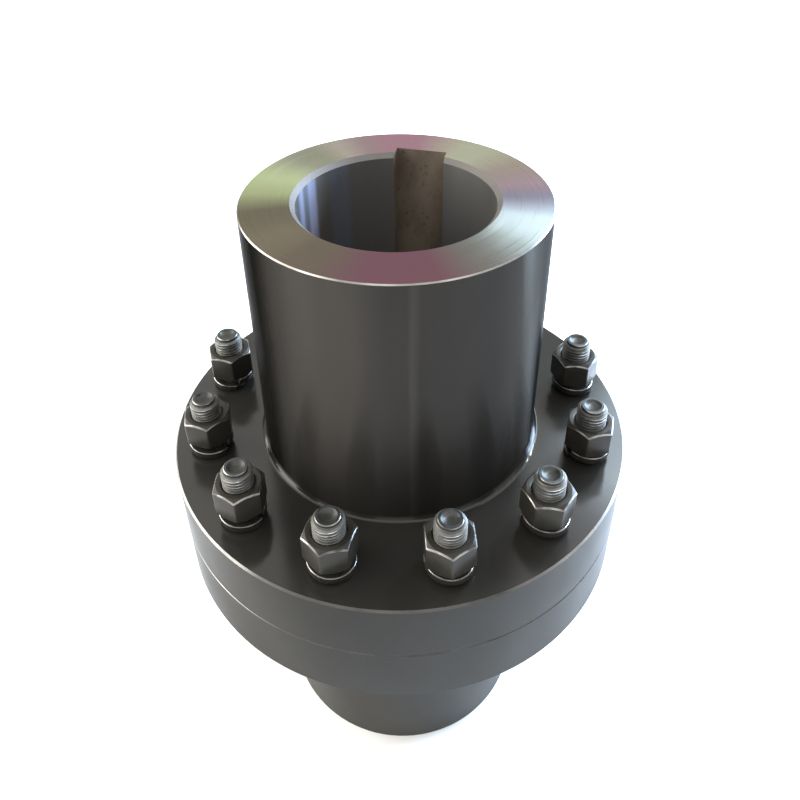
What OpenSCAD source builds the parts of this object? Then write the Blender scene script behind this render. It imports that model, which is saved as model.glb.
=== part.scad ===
// Rigid flange coupling: two keyed half couplings, face to face, joined by a ring of fit bolts.
// All sizes are in millimetres. The origin is on the shaft axis in the plane where the flanges meet.
// +Z points to the half with the nuts, and +Y passes through the middle of both keyways.

/* [Half couplings] */
// Outer diameter of both flanges
flange_d = 260; // [236:1:300]
// Thickness of each flange
flange_t = 35; // [28:0.5:45]
// Outer diameter of both hubs
hub_d = 156; // [140:1:176]
// How far each hub stands out from its flange
hub_len = 145; // [90:1:200]
// Diameter of the shaft bores
bore_d = 100; // [70:1:105]
// Radius of the fillet between hub and flange
foot_r = 3; // [1:0.5:5]

/* [Edges] */
// Chamfer on the outer edge of each hub's end
hub_chamfer = 0.6; // [0.5:0.1:4]
// Chamfer at the mouth of each bore
bore_chamfer = 2.5; // [0.5:0.1:4]
// Chamfer on the outer edge of each flange
flange_chamfer = 1; // [0.5:0.1:4]
// Small chamfer on the rims where the two flanges meet
joint_chamfer = 0.6; // [0.2:0.1:1.5]

/* [Keyways] */
// Width of the keyway in each bore
key_w = 28; // [20:1:32]
// Depth of the keyway, measured from the bore on the keyway's middle line
key_depth = 6.4; // [4:0.1:9]
// Radius in the two bottom corners of the keyway
key_corner_r = 0.5; // [0.2:0.1:1]

/* [Centring spigot] */
// Diameter of the spigot that centres one half in the other
spigot_d = 150; // [125:1:165]
// Height of the spigot on the lower half
spigot_h = 4; // [2:0.5:8]
// Free depth left under the spigot in the upper half's recess
spigot_gap = 1; // [0.5:0.1:2]
// Radial clearance round the spigot
spigot_clearance = 0.03; // [0.01:0.01:0.1]
// Chamfer on the spigot's edge
spigot_chamfer = 0.8; // [0.2:0.1:1.5]

/* [Bolt ring] */
// Number of bolts
bolt_count = 12; // [6:1:16]
// Distance from the bolts' axes in to the rim of the flanges
bolt_edge = 21; // [16:0.5:23]
// Angle from the keyway to the nearest bolt
bolt_to_key = -3; // [-15:1:15]
// Diameter of the ground shank, which fits the reamed holes
shank_d = 17; // [16.5:0.1:18]
// Radial clearance between the shank and its hole
shank_clearance = 0.02; // [0.01:0.01:0.05]
// Distance that the shank stops short of the upper flange's face
shank_relief = 4; // [1:0.5:8]
// Diameter of the thread
thread_d = 16; // [14:0.1:16.4]
// How far the bolt stands out above the upper flange
bolt_reach = 35.5; // [30:0.5:45]
// Diameter of the plain point at the bolt's end
point_d = 12.5; // [10:0.5:13]
// Length of the plain point
point_len = 2; // [1.5:0.5:6]
// Diameter of the centre hole in the bolt's end
centre_d = 8; // [2:0.5:8]
// Height of the bolt's head
head_h = 9; // [7:0.5:12]

/* [Nuts and spring washers] */
// Width across the flats of nuts and bolt heads
across_flats = 24; // [22:0.5:26]
// Height of each nut
nut_h = 16.4; // [12:0.1:17]
// Slope of the chamfer on nuts and heads, in degrees from the flat face
nut_chamfer_angle = 30; // [20:1:40]
// Radial clearance between nut and thread
thread_clearance = 0.05; // [0.01:0.01:0.2]
// Radial width and height of the spring washer's section
washer_s = 4.1; // [3:0.1:4.5]
// Radial clearance between spring washer and thread
washer_clearance = 0.15; // [0.05:0.05:0.4]
// How far the open spring washer lifts the nut off its own height
washer_rise = 4.4; // [0.5:0.1:4.5]
// Width of the split in the spring washer
washer_split = 2.2; // [1:0.1:4]

/* [Hidden] */
flange_r = flange_d / 2;
hub_r = hub_d / 2;
bore_r = bore_d / 2;
half_len = flange_t + hub_len;
bolt_circle_r = flange_r - bolt_edge;
hole_r = shank_d / 2 + shank_clearance;
spigot_r = spigot_d / 2;
recess_r = spigot_r + spigot_clearance;
recess_depth = spigot_h + spigot_gap;
key_floor = bore_r + key_depth;

corner_r = across_flats / 2 / cos(30);
// Where the chamfer meets the flat face of a nut or head
face_r = 0.94 * across_flats / 2;
washer_bore_r = thread_d / 2 + washer_clearance;
washer_r = washer_bore_r + washer_s;
nut_z = flange_t + washer_s + washer_rise;
// A slight run-out of the nut's thread at both faces
thread_mouth = 0.8;
point_chamfer = 0.5;
washer_edge = 0.5;
washer_steps = 40;
// How far the cut of the split leans over the washer's height
split_lean = 1.6;

$fn = 96;

// Turn of each nut and of each spring washer's split about its own bolt, in degrees from the
// outward direction, going round from the keyway. They were left as the spanner stopped.
nut_turns = [12, 55, 22, 3, 29, 47, 1, 50, 40, 31, 40, 44];
split_turns = [75, 190, 310, 128, 136, 111, 128, 227, 218, 218, 76, 120];
head_turns = [10, 42, 27, 55, 3, 36, 18, 49, 8, 30, 22, 51];

BOLTS = [for (i = [1 : bolt_count]) str("bolt_", i)];
WASHERS = [for (i = [1 : bolt_count]) str("spring_washer_", i)];
NUTS = [for (i = [1 : bolt_count]) str("nut_", i)];

steel_dark = [0.20, 0.20, 0.19];
steel_worn = [0.45, 0.45, 0.46];
steel_black = [0.13, 0.13, 0.13];

function bolt_angle(i) = 90 + bolt_to_key + 360 / bolt_count * i;
function turn_of(list, i) = list[i % len(list)];

// Puts the children on the axis of bolt i, with their own +X facing outwards.
module at_bolt(i) {
  rotate([0, 0, bolt_angle(i)]) translate([bolt_circle_r, 0, 0]) children();
}

// Outline of a half coupling in the radius and height plane, with the joint face at height 0.
module half_outline() {
  difference() {
    union() {
      polygon([
        [bore_r, 0],
        [flange_r - joint_chamfer, 0],
        [flange_r, joint_chamfer],
        [flange_r, flange_t - flange_chamfer],
        [flange_r - flange_chamfer, flange_t],
        [hub_r, flange_t],
        [hub_r, half_len - hub_chamfer],
        [hub_r - hub_chamfer, half_len],
        [bore_r + bore_chamfer, half_len],
        [bore_r, half_len - bore_chamfer]
      ]);
      translate([hub_r, flange_t]) square(foot_r);
    }
    translate([hub_r + foot_r, flange_t + foot_r]) circle(r = foot_r);
  }
}

// Keyway through the whole length of a half, open at both ends.
module keyway() {
  inner = bore_r / 2;
  translate([0, 0, -spigot_h - 1]) linear_extrude(half_len + spigot_h + 2) {
    difference() {
      translate([-key_w / 2, inner]) square([key_w, key_floor - inner]);
      for (side = [-1, 1]) translate([side * key_w / 2, key_floor]) difference() {
        square(2 * key_corner_r, center = true);
        translate([-side * key_corner_r, -key_corner_r]) circle(r = key_corner_r, $fn = 32);
      }
    }
  }
}

// Reamed holes for the shanks, through the flange of one half.
module bolt_holes() {
  for (i = [0 : bolt_count - 1]) at_bolt(i) translate([0, 0, -1]) cylinder(h = flange_t + 2, r = hole_r);
}

// The half with the recess. It stands with its hub up.
module upper_half() {
  color(steel_dark) difference() {
    rotate_extrude($fn = 180) half_outline();
    translate([0, 0, -1]) cylinder(h = recess_depth + 1, r = recess_r);
    keyway();
    bolt_holes();
  }
}

// The half with the spigot, turned over so that its hub hangs down and its keyway lines up.
module lower_half() {
  color(steel_dark) difference() {
    union() {
      mirror([0, 0, 1]) rotate_extrude($fn = 180) half_outline();
      rotate_extrude($fn = 180) polygon([
        [bore_r, -1],
        [spigot_r, -1],
        [spigot_r, spigot_h - spigot_chamfer],
        [spigot_r - spigot_chamfer, spigot_h],
        [bore_r, spigot_h]
      ]);
    }
    mirror([0, 0, 1]) keyway();
    mirror([0, 0, 1]) bolt_holes();
  }
}

// Hexagon prism with chamfered corners. The top is always chamfered, the bottom on request.
module hexagon(height, both_ends) {
  drop = (corner_r - face_r) * tan(nut_chamfer_angle);
  intersection() {
    cylinder(h = height, r = corner_r, $fn = 6);
    rotate_extrude() polygon([
      [0, 0],
      [both_ends ? face_r : corner_r + 1, 0],
      [corner_r + 1, both_ends ? drop + tan(nut_chamfer_angle) : 0],
      [corner_r + 1, height - drop - tan(nut_chamfer_angle)],
      [face_r, height],
      [0, height]
    ]);
  }
}

// Fit bolt: head under the lower flange, ground shank, thread, plain point with a centre hole.
module bolt(i) {
  shank_top = flange_t - shank_relief;
  shank_taper = (shank_d - thread_d) / 2;
  thread_top = flange_t + bolt_reach - point_len;
  tip = flange_t + bolt_reach;
  point_r = point_d / 2;
  thread_r = thread_d / 2;
  color(steel_worn) at_bolt(i) {
    union() {
      translate([0, 0, -flange_t]) mirror([0, 0, 1]) rotate([0, 0, turn_of(head_turns, i)])
        hexagon(head_h, both_ends = false);
      rotate_extrude() polygon([
        [0, -flange_t - 1],
        [shank_d / 2, -flange_t - 1],
        [shank_d / 2, shank_top - shank_taper],
        [thread_r, shank_top],
        [thread_r, thread_top - (thread_r - point_r)],
        [point_r, thread_top],
        [point_r, tip - point_chamfer],
        [point_r - point_chamfer, tip],
        [centre_d / 2, tip],
        [0, tip - centre_d / 4]
      ]);
    }
  }
}

// Points of one cross-section of the spring washer, at the share s of the way round.
function washer_section(s) =
  let (
    gap = washer_split / washer_r * 180 / PI,
    angle = gap / 2 + s * (360 - gap),
    rise = washer_rise * (1 - s),
    lean = split_lean / washer_r * 180 / PI / washer_s,
    outline = [
      [washer_bore_r, 0], [washer_r - washer_edge, 0], [washer_r, washer_edge],
      [washer_r, washer_s - washer_edge], [washer_r - washer_edge, washer_s], [washer_bore_r, washer_s]
    ]
  )
  [for (p = outline) let (a = angle + lean * p.y) [p.x * cos(a), p.x * sin(a), p.y + rise]];

// Open spring washer: one left-hand turn of square wire, lowest at one end and highest at the other.
module spring_washer(i) {
  n = washer_steps;
  m = 6;
  points = [for (k = [0 : n]) each washer_section(k / n)];
  sides = [for (k = [0 : n - 1]) for (j = [0 : m - 1])
    [k * m + j, k * m + (j + 1) % m, (k + 1) * m + (j + 1) % m, (k + 1) * m + j]];
  first = [for (j = [m - 1 : -1 : 0]) j];
  last = [for (j = [0 : m - 1]) n * m + j];
  color(steel_black) at_bolt(i) translate([0, 0, flange_t]) rotate([0, 0, turn_of(split_turns, i)])
    polyhedron(points, concat(sides, [first, last]));
}

// Hexagon nut, chamfered at both ends, with a small lead-in at each end of its bore.
module nut(i) {
  r = thread_d / 2 + thread_clearance;
  color(steel_black) at_bolt(i) translate([0, 0, nut_z]) rotate([0, 0, turn_of(nut_turns, i)])
    difference() {
      hexagon(nut_h, both_ends = true);
      rotate_extrude() polygon([
        [0, -1],
        [r + thread_mouth, -1],
        [r + thread_mouth, 0],
        [r, thread_mouth],
        [r, nut_h - thread_mouth],
        [r + thread_mouth, nut_h],
        [r + thread_mouth, nut_h + 1],
        [0, nut_h + 1]
      ]);
    }
}

upper_half();
lower_half();
for (i = [0 : bolt_count - 1]) {
  bolt(i);
  spring_washer(i);
  nut(i);
}
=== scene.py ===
"""Looks of the rigid flange coupling: finishes, fastenings with real threads, floor, light and camera.

Lengths are in metres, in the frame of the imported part: the origin is on the shaft axis where the
flanges meet, +Z points to the half with the nuts, and +Y passes through the keyways.
"""

import math

import bmesh
import bpy
from mathutils import Matrix, Vector


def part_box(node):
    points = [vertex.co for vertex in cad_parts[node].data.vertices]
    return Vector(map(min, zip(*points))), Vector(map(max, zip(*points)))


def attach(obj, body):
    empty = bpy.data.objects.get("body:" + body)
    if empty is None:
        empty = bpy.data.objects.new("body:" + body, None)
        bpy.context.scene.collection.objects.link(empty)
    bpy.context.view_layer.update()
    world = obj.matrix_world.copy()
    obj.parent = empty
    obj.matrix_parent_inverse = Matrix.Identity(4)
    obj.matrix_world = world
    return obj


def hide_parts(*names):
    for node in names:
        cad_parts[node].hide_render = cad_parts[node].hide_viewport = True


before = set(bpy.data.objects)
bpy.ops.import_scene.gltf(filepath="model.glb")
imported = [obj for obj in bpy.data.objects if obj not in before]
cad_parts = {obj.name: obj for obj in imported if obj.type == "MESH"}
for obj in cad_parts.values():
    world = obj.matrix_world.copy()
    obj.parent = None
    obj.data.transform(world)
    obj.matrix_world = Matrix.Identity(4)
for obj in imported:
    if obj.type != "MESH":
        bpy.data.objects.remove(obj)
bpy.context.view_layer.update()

MM = 0.001
BOLTS = 12
UP = Vector((0, 0, 1))
ORIGIN = (0, 0, 0)

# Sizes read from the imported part
upper_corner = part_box("upper_half")[1]
END_Z = upper_corner.z
FLANGE_R = upper_corner.x
FLOOR_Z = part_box("lower_half")[0].z
NUT_BOTTOM, NUT_TOP = (corner.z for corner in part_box("nut_1"))
BOLT_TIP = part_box("bolt_1")[1].z

# Sizes of the turned halves
FLANGE_T = 35 * MM
HUB_R = 78 * MM
BORE_R = 50 * MM
FOOT_R = 3 * MM
HUB_CHAMFER = 0.6 * MM
BORE_CHAMFER = 2.5 * MM
KEY_HALF_WIDTH = 14 * MM
KEYWAY_REACH = 12 * MM

# Sizes of bolts, nuts and spring washers
THREAD_R = 8 * MM
THREAD_ROOT_R = 6.75 * MM
PITCH = 2 * MM
SHANK_R = 8.5 * MM
SHANK_RELIEF = 4 * MM
SHANK_CHAMFER = 0.5 * MM
SHANK_SINK = 1 * MM
POINT_R = 6.25 * MM
POINT_LENGTH = 1.5 * MM
POINT_LIP = 0.4 * MM
CUP_R = 4.6 * MM
CUP_WALL_R = 0.75 * CUP_R
CUP_WALL_DEPTH = 0.8 * MM
CENTRE_R = 2 * MM
CENTRE_DEPTH = 1.15 * MM
CUP_DEPTH = 1.4 * MM
HEAD_H = 9 * MM
HEAD_ROUNDING = 0.25 * MM
HALF_FLATS = 12 * MM
FACE_R = 0.94 * HALF_FLATS
HEXAGON_CHAMFER_DEGREES = 30
NUT_LEAD = 0.8 * MM
NUT_ROUNDING = 0.65 * MM
NUT_WEAR_R = FACE_R - 0.3 * MM
NUT_WEAR_DEPTH = 2.4 * MM
WASHER_BORE_R = 8.15 * MM
WASHER_S = 4.1 * MM
WASHER_RISE = 4.4 * MM
WASHER_SPLIT = 2.2 * MM
WASHER_SPLIT_LEAN = 1.6 * MM
WASHER_ROUNDING = 0.5 * MM
WASHER_WEAR_DEPTH = 0.8 * MM

# A hair's breadth, left between surfaces and allowed for where faces are picked by their place
HAIR = 0.05 * MM

# Where the root of the thread ends and its crest begins and ends, as shares of the pitch
ROOT_END, CREST_START, CREST_END = 0.22, 0.50, 0.72

# Depth below the crest that still has the finish of the crest
CREST_DEPTH = 0.15 * MM

# Rise in radius over length where the thread fades out at the end of the bolt
THREAD_TAPER = 1.1

# Steps in a full turn
HEXAGON_STEPS = 72
ROUND_STEPS = 48
WASHER_STEPS = 60

# Edges stay sharp where faces meet at more than this
SMOOTH_DEGREES = 28

# Turns of the nuts, the washer splits and the bolt heads, in degrees from the outward direction
NUT_TURNS = (12, 55, 22, 3, 29, 47, 1, 50, 40, 31, 40, 44)
SPLIT_TURNS = (75, 190, 310, 128, 136, 111, 128, 227, 218, 218, 76, 120)
HEAD_TURNS = (10, 42, 27, 55, 3, 36, 18, 49, 8, 30, 22, 51)


class Finish:
    """A Principled finish whose nodes read Object coordinates."""

    def __init__(self, name, metallic=0.0, specular=0.5, anisotropic=0.0):
        self.material = bpy.data.materials.new(name)
        self.material.use_nodes = True
        self.tree = self.material.node_tree
        self.shader = self.tree.nodes["Principled BSDF"]
        self.shader.inputs["Metallic"].default_value = metallic
        self.shader.inputs["Specular IOR Level"].default_value = specular
        self.shader.inputs["Anisotropic"].default_value = anisotropic
        self.here = self.node("ShaderNodeTexCoord").outputs["Object"]

    def node(self, kind, **settings):
        made = self.tree.nodes.new(kind)
        for name, value in settings.items():
            setattr(made, name, value)
        return made

    def feed(self, socket, value):
        if isinstance(value, bpy.types.NodeSocket):
            self.tree.links.new(value, socket)
        else:
            socket.default_value = value

    def math(self, operation, *values):
        made = self.node("ShaderNodeMath", operation=operation)
        for socket, value in zip(made.inputs, values):
            self.feed(socket, value)
        return made.outputs[0]

    def noise(self, where, scale, detail=2.0, roughness=0.5):
        made = self.node("ShaderNodeTexNoise")
        self.feed(made.inputs["Vector"], where)
        self.feed(made.inputs["Scale"], scale)
        self.feed(made.inputs["Detail"], detail)
        self.feed(made.inputs["Roughness"], roughness)
        return made.outputs["Fac"]

    def stretched(self, scale):
        """Object coordinates stretched by scale along x, y and z."""
        made = self.node("ShaderNodeMapping")
        self.feed(made.inputs["Vector"], self.here)
        made.inputs["Scale"].default_value = scale
        return made.outputs[0]

    def ramp(self, factor, *stops, interpolation="LINEAR"):
        made = self.node("ShaderNodeValToRGB")
        ramp = made.color_ramp
        ramp.interpolation = interpolation
        while len(ramp.elements) < len(stops):
            ramp.elements.new(1.0)
        for element, (at, colour) in zip(ramp.elements, stops):
            element.position = at
            rgb = colour if isinstance(colour, tuple) else (colour, colour, colour)
            element.color = (*rgb, 1.0)
        self.feed(made.inputs["Fac"], factor)
        return made.outputs["Color"]

    def mix(self, factor, below, above, blend="MIX"):
        made = self.node("ShaderNodeMix", data_type="RGBA", blend_type=blend)
        self.feed(made.inputs["Factor"], factor)
        for socket, value in zip(made.inputs[6:8], (below, above)):
            self.feed(socket, (*value, 1.0) if isinstance(value, tuple) else value)
        return made.outputs[2]

    def polar(self):
        """Radius, angle (0 to 1, from -X round by -Y) and height of the point about the shaft axis."""
        split = self.node("ShaderNodeSeparateXYZ")
        self.feed(split.inputs[0], self.here)
        x, y, z = split.outputs
        squares = self.math("ADD", self.math("MULTIPLY", x, x), self.math("MULTIPLY", y, y))
        radius = self.math("SQRT", squares)
        turn = self.math("MULTIPLY_ADD", self.math("ARCTAN2", y, x), 0.5 / math.pi, 0.5)
        return radius, turn, z

    def combine(self, x, y, z):
        made = self.node("ShaderNodeCombineXYZ")
        for socket, value in zip(made.inputs, (x, y, z)):
            self.feed(socket, value)
        return made.outputs[0]

    def bump(self, height, distance, strength):
        made = self.node("ShaderNodeBump")
        self.feed(made.inputs["Height"], height)
        made.inputs["Distance"].default_value = distance
        made.inputs["Strength"].default_value = strength
        return made.outputs[0]

    def colour(self, value):
        self.feed(self.shader.inputs["Base Color"], value)

    def roughness(self, value):
        self.feed(self.shader.inputs["Roughness"], value)

    def normal(self, value):
        self.feed(self.shader.inputs["Normal"], value)

    def radial_tangent(self):
        """Spreads reflections across rings turned about the shaft axis."""
        flat = self.node("ShaderNodeVectorMath", operation="MULTIPLY")
        self.feed(flat.inputs[0], self.here)
        flat.inputs[1].default_value = (1.0, 1.0, 0.0)
        unit = self.node("ShaderNodeVectorMath", operation="NORMALIZE")
        self.feed(unit.inputs[0], flat.outputs[0])
        self.feed(self.shader.inputs["Tangent"], unit.outputs[0])

    def upright_tangent(self):
        """Spreads reflections up and down, across grooves turned round a cylinder."""
        self.feed(self.shader.inputs["Tangent"], self.combine(0.0, 0.0, 1.0))

    def dark_rims(self, tint):
        """Keeps the metal's reflection weak where it is seen at a flat angle."""
        self.shader.inputs["Specular Tint"].default_value = (tint, tint, tint, 1.0)


# The oiled tone of the hub, with a painted dark reflection and a painted light reflection for its bands
DARK_REFLECTION = (0.012, 0.012, 0.011)
OIL = (0.038, 0.036, 0.034)
LIGHT_REFLECTION = (0.056, 0.052, 0.048)

# Upright bands of painted reflection down the upper hub, by the share of a full turn from -X round by -Y
HUB_REFLECTION_BANDS = (
    (0.08, OIL), (0.11, DARK_REFLECTION), (0.135, DARK_REFLECTION), (0.165, OIL), (0.21, LIGHT_REFLECTION), (0.25, LIGHT_REFLECTION),
    (0.285, OIL), (0.302, OIL), (0.306, LIGHT_REFLECTION), (0.311, OIL), (0.35, OIL), (0.385, OIL),
    (0.43, LIGHT_REFLECTION), (0.455, LIGHT_REFLECTION), (0.468, OIL), (0.478, DARK_REFLECTION), (0.51, DARK_REFLECTION), (0.53, OIL),
)


def hub_black():
    """Oiled black oxide on the upper hub's side, with upright bands of painted reflection round it."""
    f = Finish("hub_black", metallic=0.55, specular=0.0, anisotropic=1.0)
    _, turn, _ = f.polar()
    smear = f.noise(f.stretched((60.0, 60.0, 9.0)), 1.0, 3.0)
    wander = f.math("MULTIPLY_ADD", f.noise(f.stretched((30.0, 30.0, 6.0)), 1.0, 2.0), 0.012, -0.006)
    # Painted reflection: darker and lighter upright bands by turn round the hub
    f.colour(f.ramp(f.math("ADD", turn, wander), *HUB_REFLECTION_BANDS, interpolation="EASE"))
    f.roughness(f.ramp(smear, (0.35, 0.20), (0.65, 0.27)))
    f.dark_rims(0.35)
    f.upright_tangent()
    return f.material


def face_black():
    """Oiled black oxide on the flange faces and the foot of the hub, glossy."""
    f = Finish("face_black", specular=0.35, anisotropic=0.6)
    blotch = f.noise(f.here, 16.0, 4.0)
    f.colour(f.mix(blotch, (0.013, 0.0125, 0.011), (0.025, 0.0237, 0.0210)))
    f.roughness(f.ramp(blotch, (0.3, 0.13), (0.7, 0.22)))
    f.normal(f.bump(f.noise(f.here, 300.0, 3.0), 0.00003, 0.4))
    f.radial_tangent()
    return f.material


# Painted light on the lower half, lighter towards the floor, by the share of the way down from the joint to
# the floor
PAINTED_LIFT = ((0.20, (0.012, 0.0115, 0.009)), (0.55, (0.016, 0.0145, 0.012)), (1.0, (0.048, 0.0455, 0.041)))


def dry_black():
    """The turned outsides of the flanges and the lower hub, dry, with painted light that makes them lighter
    towards the floor.
    """
    f = Finish("dry_black", specular=0.18, anisotropic=0.6)
    _, turn, z = f.polar()
    rings_at = f.combine(f.math("MULTIPLY", turn, 3.0), 0.0, f.math("MULTIPLY", z, 2500.0))
    rings = f.noise(rings_at, 1.0, 2.0)
    blotch = f.noise(f.here, 18.0, 4.0)
    # Painted light: the colour grows lighter towards the floor, making up for the shaded floor the hub
    # mirrors there
    depth = f.math("DIVIDE", z, FLOOR_Z)
    lift = f.ramp(depth, *PAINTED_LIFT)
    f.colour(f.mix(f.math("MULTIPLY", blotch, 0.4), lift, (0.020, 0.018, 0.015)))
    f.roughness(f.ramp(blotch, (0.3, 0.30), (0.7, 0.40)))
    f.normal(f.bump(rings, 0.00005, 0.4))
    f.upright_tangent()
    return f.material


STEEL = (0.37, 0.40, 0.39)
MAUVE = (0.24, 0.22, 0.28)
ROSE = (0.40, 0.29, 0.34)
SAND = (0.34, 0.29, 0.24)
MOSS = (0.39, 0.41, 0.30)
PINK = (0.33, 0.175, 0.225)
DUSK = (0.29, 0.21, 0.22)
WHEAT = (0.38, 0.34, 0.29)
SAGE = (0.26, 0.27, 0.19)
OLIVE = (0.42, 0.46, 0.225)
UMBER = (0.165, 0.145, 0.095)
BARK = (0.115, 0.095, 0.070)
PLUM = (0.145, 0.063, 0.088)
SLATE = (0.14, 0.13, 0.118)
PEWTER = (0.16, 0.18, 0.165)

# Tints that change round the hub ends, by the share of a full turn from -X round by -Y
TINTS = (
    (0.03, OLIVE), (0.07, UMBER), (0.13, UMBER), (0.18, BARK), (0.21, BARK), (0.26, PLUM), (0.33, PLUM),
    (0.37, SLATE), (0.43, PEWTER), (0.49, STEEL), (0.535, MAUVE), (0.57, ROSE), (0.62, SAND), (0.67, MOSS),
    (0.70, MOSS), (0.76, PINK), (0.80, PINK), (0.833, DUSK), (0.867, WHEAT), (0.90, SAGE), (0.93, SAGE),
    (0.99, OLIVE),
)


def turned_face():
    """Bare turned steel on the hub ends: rings from the tool and tints that change round the face."""
    f = Finish("turned_face", metallic=1.0, anisotropic=0.8)
    radius, turn, _ = f.polar()
    rings_at = f.combine(f.math("MULTIPLY", radius, 2600.0), f.math("MULTIPLY", turn, 6.0), 0.0)
    rings = f.noise(rings_at, 1.0, 2.0)
    tint = f.ramp(turn, *TINTS)
    f.colour(f.mix(f.math("MULTIPLY", rings, 0.15), tint, (0.12, 0.11, 0.10)))
    f.roughness(f.ramp(rings, (0.3, 0.26), (0.7, 0.36)))
    f.normal(f.bump(rings, 0.00002, 0.25))
    f.radial_tangent()
    return f.material


# Painted glints on the rounded edges, how strong they are by the share of a full turn from -X round by -Y
RIM_GLINT = (
    (0.0, 0.45), (0.17, 0.45), (0.25, 0.30), (0.35, 0.28),
    (0.42, 1.0), (0.58, 1.0), (0.66, 0.3), (0.9, 0.3),
)
JOINT_GLINT = ((0.0, 0.45), (0.20, 0.45), (0.27, 0.25), (0.9, 0.25))


def worn_edge_and_glint():
    """Edges of the flanges, at the rim and at the joint, rubbed to a shine, with painted glints that vary
    round them.
    """
    f = Finish("worn_edge_and_glint", metallic=1.0)
    _, turn, z = f.polar()
    wear = f.noise(f.here, 60.0, 3.0)
    shine = f.ramp(wear, (0.30, (0.35, 0.343, 0.330)), (0.65, (0.64, 0.63, 0.61)))
    on_rim = f.math("GREATER_THAN", f.math("ABSOLUTE", z), FLANGE_T / 2)
    # Painted glints: the rubbed shine is scaled by turn, brightest where glints are painted on the rim and
    # the joint
    rubbed = f.mix(on_rim, f.ramp(turn, *JOINT_GLINT), f.ramp(turn, *RIM_GLINT))
    f.colour(f.mix(1.0, shine, rubbed, "MULTIPLY"))
    f.roughness(f.ramp(wear, (0.3, 0.34), (0.7, 0.24)))
    return f.material


def lip_steel():
    """The narrow edge round the hub ends, rubbed bare."""
    f = Finish("lip_steel", metallic=1.0)
    wear = f.noise(f.here, 40.0, 3.0)
    f.colour(f.ramp(wear, (0.35, (0.16, 0.155, 0.145)), (0.65, (0.44, 0.43, 0.41))))
    f.roughness(f.ramp(wear, (0.3, 0.34), (0.7, 0.24)))
    return f.material


# The oil film of the bore, with two painted bluish reflections for its bands
FILM = (0.155, 0.152, 0.146)
BLUE_REFLECTION = (0.17, 0.185, 0.23)
WINDOW_REFLECTION = (0.42, 0.45, 0.66)

# Upright bands of painted bluish reflection down the oiled bore, by the share of a full turn from -X round
# by -Y
BORE_REFLECTION_BANDS = (
    (0.005, WINDOW_REFLECTION), (0.02, FILM), (0.87, FILM), (0.885, BLUE_REFLECTION), (0.91, BLUE_REFLECTION), (0.925, FILM),
    (0.948, FILM), (0.957, WINDOW_REFLECTION), (0.972, WINDOW_REFLECTION), (0.98, BLUE_REFLECTION), (0.99, BLUE_REFLECTION), (0.998, WINDOW_REFLECTION),
)


def bore_steel():
    """The bored hole: smooth bare steel under a film of oil, with upright bands of painted bluish
    reflection.
    """
    f = Finish("bore_steel", metallic=0.6, specular=0.2, anisotropic=0.85)
    streak = f.noise(f.stretched((50.0, 50.0, 5.0)), 1.0, 2.0)
    _, turn, _ = f.polar()
    # Painted reflection: bluish bands where the bore's left wall mirrors the window
    bands = f.ramp(turn, *BORE_REFLECTION_BANDS, interpolation="EASE")
    f.colour(f.mix(f.math("MULTIPLY", streak, 0.5), bands, (0.125, 0.122, 0.117)))
    f.roughness(f.ramp(streak, (0.3, 0.30), (0.7, 0.38)))
    f.upright_tangent()
    return f.material


def mouth_steel():
    """The chamfer at the mouth of the bore, cut with a blunt tool."""
    f = Finish("mouth_steel", metallic=0.4, specular=0.3)
    streak = f.noise(f.here, 80.0, 3.0)
    f.colour(f.mix(streak, (0.10, 0.094, 0.088), (0.16, 0.152, 0.143)))
    f.roughness(f.ramp(streak, (0.3, 0.50), (0.7, 0.65)))
    return f.material


def keyway_steel():
    """The broached keyway, left bare, with a thin film of rust and a few specks."""
    f = Finish("keyway_steel", specular=0.35)
    blotch = f.noise(f.stretched((60.0, 60.0, 25.0)), 1.0, 4.0, 0.55)
    speck = f.noise(f.here, 420.0, 3.0)
    rust = f.ramp(blotch, (0.30, (0.105, 0.080, 0.060)), (0.72, (0.20, 0.160, 0.122)))
    f.colour(f.mix(f.ramp(speck, (0.30, 0.55), (0.38, 0.0)), rust, (0.03, 0.024, 0.019)))
    f.roughness(f.ramp(blotch, (0.3, 0.50), (0.7, 0.70)))
    f.normal(f.bump(blotch, 0.0002, 0.3))
    return f.material


def nut_steel():
    """Black oxide on nuts and heads, dry and a little brown."""
    f = Finish("nut_black", specular=0.22)
    blotch = f.noise(f.here, 120.0, 4.0)
    f.colour(f.mix(blotch, (0.018, 0.016, 0.013), (0.036, 0.033, 0.027)))
    f.roughness(f.ramp(blotch, (0.3, 0.28), (0.7, 0.40)))
    f.normal(f.bump(f.noise(f.here, 600.0, 3.0), 0.00005, 0.5))
    return f.material


def nut_edge():
    """Edges of nuts and washers, rubbed through to the steel here and there."""
    f = Finish("nut_edge", metallic=1.0)
    wear = f.noise(f.here, 110.0, 3.0)
    f.colour(f.ramp(wear, (0.35, (0.09, 0.087, 0.082)), (0.65, (0.50, 0.49, 0.47))))
    f.roughness(f.ramp(wear, (0.3, 0.42), (0.7, 0.30)))
    return f.material


def crest_steel():
    """Crests of the threads, rubbed bare."""
    f = Finish("thread_crest", metallic=1.0)
    wear = f.noise(f.here, 250.0, 3.0)
    f.colour(f.ramp(wear, (0.35, (0.24, 0.24, 0.23)), (0.62, (0.66, 0.66, 0.65))))
    f.roughness(f.ramp(wear, (0.3, 0.42), (0.7, 0.30)))
    return f.material


def root_steel():
    """Flanks and roots of the threads, still dark."""
    f = Finish("thread_root", metallic=0.6, specular=0.3)
    dirt = f.noise(f.here, 250.0, 3.0)
    f.colour(f.mix(dirt, (0.07, 0.07, 0.067), (0.20, 0.20, 0.19)))
    f.roughness(0.5)
    return f.material


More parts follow.
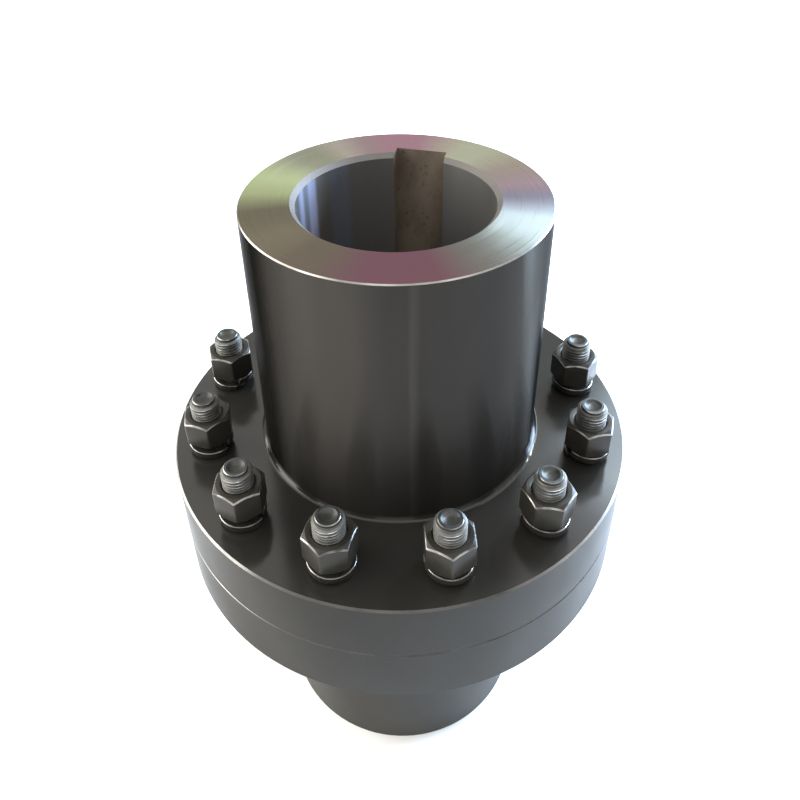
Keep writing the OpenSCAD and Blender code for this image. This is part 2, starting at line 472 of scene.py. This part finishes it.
def point_steel():
    """The ends of the bolts beyond the thread, dark and half bare."""
    f = Finish("point_dark", metallic=0.5, specular=0.3)
    blotch = f.noise(f.here, 260.0, 4.0)
    f.colour(f.mix(blotch, (0.022, 0.024, 0.023), (0.070, 0.074, 0.072)))
    f.roughness(f.ramp(blotch, (0.3, 0.28), (0.7, 0.40)))
    return f.material


def washer_steel():
    """Black spring washers, a little oily."""
    f = Finish("washer_black", specular=0.22)
    blotch = f.noise(f.here, 150.0, 3.0)
    f.colour(f.mix(blotch, (0.014, 0.013, 0.012), (0.032, 0.030, 0.026)))
    f.roughness(f.ramp(blotch, (0.3, 0.24), (0.7, 0.36)))
    return f.material


HUB = hub_black()
FACE = face_black()
DRY = dry_black()
TURNED = turned_face()
WORN_AND_GLINT = worn_edge_and_glint()
LIP = lip_steel()
BORE = bore_steel()
MOUTH = mouth_steel()
KEYWAY = keyway_steel()
NUT = nut_steel()
NUT_EDGE = nut_edge()
CREST = crest_steel()
ROOT = root_steel()
POINT = point_steel()
WASHER = washer_steel()

HALF_FINISHES = (HUB, FACE, DRY, TURNED, WORN_AND_GLINT, LIP, BORE, MOUTH, KEYWAY)


def half_finish(centre, normal):
    """Finish of one face of a half coupling."""
    radius = math.hypot(centre.x, centre.y)
    height = abs(centre.z)
    flat = abs(normal.z) > 0.95
    upright = abs(normal.z) < 0.05
    if flat:
        return TURNED if height > END_Z - HAIR else FACE
    if radius < BORE_R + BORE_CHAMFER + HAIR and not upright:
        return MOUTH
    beside_key = centre.y > 0 and abs(centre.x) < KEY_HALF_WIDTH + HAIR
    if upright and beside_key and radius < BORE_R + KEYWAY_REACH:
        return BORE if radius < BORE_R + HAIR else KEYWAY
    if radius < BORE_R + HAIR:
        return BORE
    if upright:
        return DRY if radius > FLANGE_R - HAIR * 10 or centre.z < 0 else HUB
    if height > END_Z - HUB_CHAMFER - HAIR:
        return LIP
    return WORN_AND_GLINT if radius > HUB_R + FOOT_R + HAIR else FACE


for name in ("upper_half", "lower_half"):
    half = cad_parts[name]
    half.data.materials.clear()
    for material in HALF_FINISHES:
        half.data.materials.append(material)
    for face in half.data.polygons:
        face.material_index = HALF_FINISHES.index(half_finish(face.center, face.normal))


def centre_of(node):
    """Middle of a CAD node's box, at the height of the joint."""
    low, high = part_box(node)
    middle = (low + high) / 2
    return Vector((middle.x, middle.y, 0.0))


def piece(name, bm, slot, node, *materials):
    """Makes a mesh object of bm that stands for the CAD node."""
    mesh = bpy.data.meshes.new(name)
    bm.to_mesh(mesh)
    bm.free()
    for material in materials:
        mesh.materials.append(material)
    made = bpy.data.objects.new(name, mesh)
    bpy.context.scene.collection.objects.link(made)
    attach(made, "root")
    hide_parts(node)


def turn(bm, outline, steps, slot):
    """Closed ring or solid spun from an outline of (radius, height) points about Z."""
    points = [bm.verts.new((r, 0, z)) for r, z in outline]
    edges = [bm.edges.new(pair) for pair in zip(points, points[1:])]
    if outline[0][0] > 0:
        edges.append(bm.edges.new((points[-1], points[0])))
    before = set(bm.faces)
    bmesh.ops.spin(
        bm, geom=points + edges, cent=ORIGIN, axis=UP, angle=math.tau, steps=steps, use_merge=True,
    )
    bmesh.ops.remove_doubles(bm, verts=bm.verts, dist=1e-7)
    faces = [face for face in bm.faces if face not in before]
    for face in faces:
        face.material_index = slot
    return faces


def hexagon_edge(angle):
    """Distance from the axis to the side of the hexagon, with a corner facing +X."""
    return HALF_FLATS / math.cos(angle % (math.pi / 3) - math.pi / 6)


def hexagon(bm, low, high, bore, slot=0):
    """Hexagon block between two heights, chamfered at both ends.

    It is spun as a wider disc, whose rim is then drawn in to the six sides, with both ends sloping to it
    as a cone does, which leaves the true arcs.
    """
    wide = 2 * HALF_FLATS
    if bore:
        outline = [
            (bore + NUT_LEAD, low), (FACE_R, low), (wide, low), (wide, high), (FACE_R, high),
            (bore + NUT_LEAD, high), (bore, high - NUT_LEAD), (bore, low + NUT_LEAD),
        ]
    else:
        outline = [(0, low), (FACE_R, low), (wide, low), (wide, high), (FACE_R, high), (0, high)]
    faces = turn(bm, outline, HEXAGON_STEPS, slot)
    slope = math.tan(math.radians(HEXAGON_CHAMFER_DEGREES))
    for vert in {vert for face in faces for vert in face.verts}:
        radius = math.hypot(vert.co.x, vert.co.y)
        if radius < wide * 0.9:
            continue
        edge = hexagon_edge(math.atan2(vert.co.y, vert.co.x))
        drop = (edge - FACE_R) * slope
        vert.co.x *= edge / radius
        vert.co.y *= edge / radius
        vert.co.z += -drop if vert.co.z > (low + high) / 2 else drop


def soften(bm, offset, least_angle, segments=2):
    """Rounds the edges whose faces meet at more than least_angle degrees."""
    bmesh.ops.recalc_face_normals(bm, faces=bm.faces)
    limit = math.radians(least_angle)
    sharp = [edge for edge in bm.edges if len(edge.link_faces) == 2 and edge.calc_face_angle() > limit]
    made = bmesh.ops.bevel(
        bm, geom=sharp, offset=offset, offset_type="OFFSET", affect="EDGES", segments=segments,
        profile=0.5, material=-1, clamp_overlap=True,
    )
    return made["faces"]


def wear(faces, slot, least_radius, least_height):
    """Gives the finish of a slot to the faces beyond a radius and above a height."""
    for face in faces:
        centre = face.calc_center_median()
        if math.hypot(centre.x, centre.y) > least_radius and centre.z > least_height:
            face.material_index = slot


def set_smooth(bm):
    """Shades the mesh smooth, apart from its sharp edges."""
    limit = math.radians(SMOOTH_DEGREES)
    for face in bm.faces:
        face.smooth = True
    for edge in bm.edges:
        if len(edge.link_faces) == 2 and edge.calc_face_angle() > limit:
            edge.smooth = False


def swivel(bm, angle):
    """Turns the mesh about its own axis."""
    bmesh.ops.rotate(bm, verts=bm.verts, cent=ORIGIN, matrix=Matrix.Rotation(angle, 3, "Z"))


def place(bm, node, turn_degrees):
    """Turns the mesh from the outward direction of its bolt, and moves it there."""
    centre = centre_of(node)
    outward = math.atan2(centre.y, centre.x)
    swivel(bm, outward + math.radians(turn_degrees))
    bmesh.ops.translate(bm, verts=bm.verts, vec=centre)


def screw_thread(bm, low, high, crest, root):
    """Real thread: a zigzag outline spun once round while it climbs by one pitch, cut flat at both ends."""
    rows = int((high - low) / PITCH) + 3
    points = []
    for row in range(rows):
        z = low - PITCH * 1.5 + row * PITCH
        points += [
            (THREAD_ROOT_R, z), (THREAD_ROOT_R, z + ROOT_END * PITCH),
            (THREAD_R, z + CREST_START * PITCH), (THREAD_R, z + CREST_END * PITCH),
        ]
    verts = [bm.verts.new((r, 0, z)) for r, z in points]
    edges = [bm.edges.new(pair) for pair in zip(verts, verts[1:])]
    before = set(bm.faces)
    bmesh.ops.spin(
        bm, geom=verts + edges, cent=ORIGIN, axis=UP, angle=math.tau, steps=ROUND_STEPS,
        dvec=(0, 0, PITCH / ROUND_STEPS),
    )
    made = [face for face in bm.faces if face not in before]
    bmesh.ops.remove_doubles(bm, verts=list({vert for face in made for vert in face.verts}), dist=1e-6)
    made = [face for face in bm.faces if face not in before]
    for vert in {vert for face in made for vert in face.verts}:
        radius = math.hypot(vert.co.x, vert.co.y)
        most = min(THREAD_R, THREAD_ROOT_R + THREAD_TAPER * max(0.0, high - vert.co.z))
        if radius > most:
            vert.co.x *= most / radius
            vert.co.y *= most / radius
    for cut, way in ((low, -1), (high, 1)):
        made = [face for face in bm.faces if face not in before]
        geom = made + list({e for f in made for e in f.edges}) + list({v for f in made for v in f.verts})
        bmesh.ops.bisect_plane(
            bm, geom=geom, dist=1e-7, plane_co=(0, 0, cut), plane_no=(0, 0, way), clear_outer=True,
        )
    made = [face for face in bm.faces if face not in before]
    rims = [edge for edge in {e for f in made for e in f.edges} if edge.is_boundary]
    bmesh.ops.holes_fill(bm, edges=rims, sides=0)
    for face in bm.faces:
        if face not in before:
            centre = face.calc_center_median()
            on_crest = math.hypot(centre.x, centre.y) > THREAD_R - CREST_DEPTH
            face.material_index = crest if on_crest else root


def bolt(i):
    """Fit bolt: head, ground shank, thread and plain point with a dished end whose centre is painted dark
    as painted shade.
    """
    finishes = (CREST, NUT, POINT, NUT_EDGE, ROOT)
    bare, black, dull, worn, dark = range(len(finishes))
    bm = bmesh.new()
    hexagon(bm, -FLANGE_T - HEAD_H, -FLANGE_T, bore=0, slot=black)
    soften(bm, HEAD_ROUNDING, least_angle=20)
    swivel(bm, math.radians(HEAD_TURNS[i]))
    shank_top = FLANGE_T - SHANK_RELIEF
    shank_low = -FLANGE_T - SHANK_SINK
    shank = [
        (0, shank_low), (SHANK_R, shank_low), (SHANK_R, shank_top - SHANK_CHAMFER), (THREAD_R, shank_top),
        (THREAD_R, shank_top + SHANK_CHAMFER), (0, shank_top + SHANK_CHAMFER),
    ]
    turn(bm, shank, ROUND_STEPS, bare)
    thread_top = BOLT_TIP - POINT_LENGTH
    screw_thread(bm, shank_top, thread_top, bare, dark)
    inner = POINT_R - HAIR
    point_low = thread_top - PITCH
    end = [
        (0, point_low), (inner, point_low), (inner, BOLT_TIP - POINT_LIP), (POINT_R - POINT_LIP, BOLT_TIP),
        (CUP_R, BOLT_TIP), (CUP_WALL_R, BOLT_TIP - CUP_WALL_DEPTH), (CENTRE_R, BOLT_TIP - CENTRE_DEPTH),
        (0, BOLT_TIP - CUP_DEPTH),
    ]
    # The middle of the dish takes the black finish: painted shade, as if it were a deep centre hole
    for face in turn(bm, end, ROUND_STEPS, dull):
        middle = face.calc_center_median()
        if math.hypot(middle.x, middle.y) < CENTRE_R and middle.z > thread_top:
            face.material_index = black
    wear(bm.faces, worn, POINT_R - POINT_LIP + HAIR, BOLT_TIP - POINT_LIP)
    bmesh.ops.recalc_face_normals(bm, faces=bm.faces)
    set_smooth(bm)
    node = f"bolt_{i + 1}"
    place(bm, node, 0)
    piece(f"{node}_threaded", bm, "bolt_steel", node, *finishes)


# Slot of the rubbed edges on nuts and washers
RUBBED = 1


def nut(i):
    """Nut with a chamfer at both ends, rubbed along the arcs and corners near its top."""
    bm = bmesh.new()
    hexagon(bm, NUT_BOTTOM, NUT_TOP, bore=THREAD_R + HAIR)
    rounded = soften(bm, NUT_ROUNDING, least_angle=35, segments=3)
    wear(rounded, RUBBED, NUT_WEAR_R, NUT_TOP - NUT_WEAR_DEPTH)
    set_smooth(bm)
    node = f"nut_{i + 1}"
    place(bm, node, NUT_TURNS[i])
    piece(f"{node}_chamfered", bm, "nut_steel", node, NUT, NUT_EDGE)


def spring_washer(i):
    """One open turn of square wire, highest at one side of the split and lowest at the other."""
    bm = bmesh.new()
    outer = WASHER_BORE_R + WASHER_S
    gap = WASHER_SPLIT / outer
    lean = WASHER_SPLIT_LEAN / outer
    start = FLANGE_T + WASHER_RISE
    corners = []
    for r, z in ((WASHER_BORE_R, 0), (outer, 0), (outer, WASHER_S), (WASHER_BORE_R, WASHER_S)):
        angle = gap / 2 + lean * z / WASHER_S
        corners.append(bm.verts.new((r * math.cos(angle), r * math.sin(angle), start + z)))
    section = bm.faces.new(corners)
    bmesh.ops.spin(
        bm, geom=[section], cent=ORIGIN, axis=UP, angle=math.tau - gap, steps=WASHER_STEPS,
        dvec=(0, 0, -WASHER_RISE / WASHER_STEPS),
    )
    for face in soften(bm, WASHER_ROUNDING, least_angle=40, segments=3):
        centre = face.calc_center_median()
        angle = (math.atan2(centre.y, centre.x) - gap / 2) % math.tau
        top = FLANGE_T + WASHER_S + WASHER_RISE * (1 - angle / (math.tau - gap))
        outside = math.hypot(centre.x, centre.y) > outer - WASHER_ROUNDING
        if outside and centre.z > top - WASHER_WEAR_DEPTH:
            face.material_index = RUBBED
    set_smooth(bm)
    node = f"spring_washer_{i + 1}"
    place(bm, node, SPLIT_TURNS[i])
    piece(f"{node}_sprung", bm, "washer_steel", node, WASHER, NUT_EDGE)


for i in range(BOLTS):
    bolt(i)
    spring_washer(i)
    nut(i)


FLOOR_HALF_SIZE = 12.0


def floor():
    """Plain pale floor under the lower hub."""
    bm = bmesh.new()
    bmesh.ops.create_grid(bm, x_segments=1, y_segments=1, size=FLOOR_HALF_SIZE)
    bmesh.ops.translate(bm, verts=bm.verts, vec=(0, 0, FLOOR_Z))
    mesh = bpy.data.meshes.new("floor")
    bm.to_mesh(mesh)
    bm.free()
    f = Finish("floor_pale", specular=0.2)
    f.colour(f.mix(f.noise(f.here, 3.0), (0.90, 0.90, 0.90), (0.92, 0.92, 0.92)))
    f.roughness(0.8)
    mesh.materials.append(f.material)
    made = bpy.data.objects.new("floor", mesh)
    bpy.context.scene.collection.objects.link(made)


def lamp(name, place_at, aim, size, power, colour):
    """Soft rectangular lamp, with its size given as (width, height)."""
    data = bpy.data.lights.new(name, "AREA")
    data.shape = "RECTANGLE"
    data.size, data.size_y = size
    data.energy = power
    data.color = colour
    made = bpy.data.objects.new(name, data)
    made.location = place_at
    made.rotation_mode = "QUATERNION"
    made.rotation_quaternion = (Vector(aim) - Vector(place_at)).to_track_quat("-Z", "Y")
    bpy.context.scene.collection.objects.link(made)


def around(azimuth, distance, height):
    """A point at an azimuth in degrees from +X, a distance from the shaft axis and a height."""
    a = math.radians(azimuth)
    return (distance * math.cos(a), distance * math.sin(a), height)


WALL_WHITE = (1.0, 0.985, 0.96)
CEILING_WHITE = (1.0, 0.98, 0.945)
PANEL_WHITE = (1.0, 0.97, 0.90)
SPARK_WHITE = (0.90, 0.96, 1.0)
SKY_BLUE = (0.70, 0.86, 1.0)
WINDOW_BLUE = (0.52, 0.72, 1.0)
STRIP_BLUE = (0.52, 0.74, 1.0)


def light():
    """Soft light: a broad ceiling panel, a bluish window behind at the right and a panel at the left.

    Three smaller lamps at the right light the flange beside the hub, draw the upright streak down the
    hub and put the glint at its foot.
    """
    world = bpy.data.worlds.new("studio")
    bpy.context.scene.world = world
    world.use_nodes = True
    sky = world.node_tree.nodes["Background"]
    sky.inputs["Color"].default_value = (*WALL_WHITE, 1.0)
    sky.inputs["Strength"].default_value = 0.78
    behind = around(105, 0.3, 0)
    hub = (0, 0, 0.05)
    flange = (0.11, 0, FLANGE_T)
    foot = (0.078, -0.0145, 0.036)
    lamp("ceiling", around(105, 0.3, 2.5), behind, size=(5.0, 5.0), power=86, colour=CEILING_WHITE)
    lamp("window", around(53, 1.3, 0.47), hub, size=(0.75, 0.75), power=44, colour=WINDOW_BLUE)
    lamp("skylight", around(73, 0.99, 0.90), flange, size=(0.20, 0.34), power=3.4, colour=SKY_BLUE)
    lamp("strip", around(26, 0.56, 0.05), hub, size=(0.12, 0.44), power=3.9, colour=STRIP_BLUE)
    lamp("spark", around(56, 0.877, 0.884), foot, size=(0.14, 0.14), power=8.0, colour=SPARK_WHITE)
    lamp("left_panel", around(190, 1.2, 0.55), ORIGIN, size=(1.3, 1.2), power=27, colour=PANEL_WHITE)


# The photograph's camera, found from the outlines of the flanges, hub and bore, with angles in radians
CAMERA_PLACE = (0, -0.344104, 0.359978)
CAMERA_PITCH = 0.576262
CAMERA_YAW = 0.0032196
CAMERA_ROLL = 0.0140268
FOCAL_PIXELS = 782.94
CENTRE_X_PIXELS = 399.29
CENTRE_Y_PIXELS = 270.48
PHOTO_PIXELS = 800
SENSOR_WIDTH = 36

# Turn of that camera about the shaft axis, which puts the keyway and the bolts as in the photograph
VIEW_TURN_DEGREES = 15


def camera():
    """Camera at the photograph's own place and angle."""
    pitch, yaw, roll = CAMERA_PITCH, CAMERA_YAW, CAMERA_ROLL
    forward = Vector((math.sin(yaw) * math.cos(pitch), math.cos(yaw) * math.cos(pitch), -math.sin(pitch)))
    right = Vector((math.cos(yaw), -math.sin(yaw), 0))
    down = forward.cross(right)
    r = right * math.cos(roll) + down * math.sin(roll)
    d = down * math.cos(roll) - right * math.sin(roll)
    turn_z = Matrix.Rotation(math.radians(VIEW_TURN_DEGREES), 4, "Z")
    pose = Matrix.Identity(4)
    pose.col[0][:3] = r
    pose.col[1][:3] = -d
    pose.col[2][:3] = -forward
    pose.col[3][:3] = CAMERA_PLACE
    data = bpy.data.cameras.new("camera")
    data.sensor_width = SENSOR_WIDTH
    data.lens = FOCAL_PIXELS * SENSOR_WIDTH / PHOTO_PIXELS
    data.shift_x = (PHOTO_PIXELS / 2 - CENTRE_X_PIXELS) / PHOTO_PIXELS
    data.shift_y = (CENTRE_Y_PIXELS - PHOTO_PIXELS / 2) / PHOTO_PIXELS
    data.clip_start, data.clip_end = 0.01, 60
    made = bpy.data.objects.new("camera", data)
    made.matrix_world = turn_z @ pose
    bpy.context.scene.collection.objects.link(made)
    bpy.context.scene.camera = made


floor()
light()
camera()
bpy.context.scene.view_settings.view_transform = "Standard"
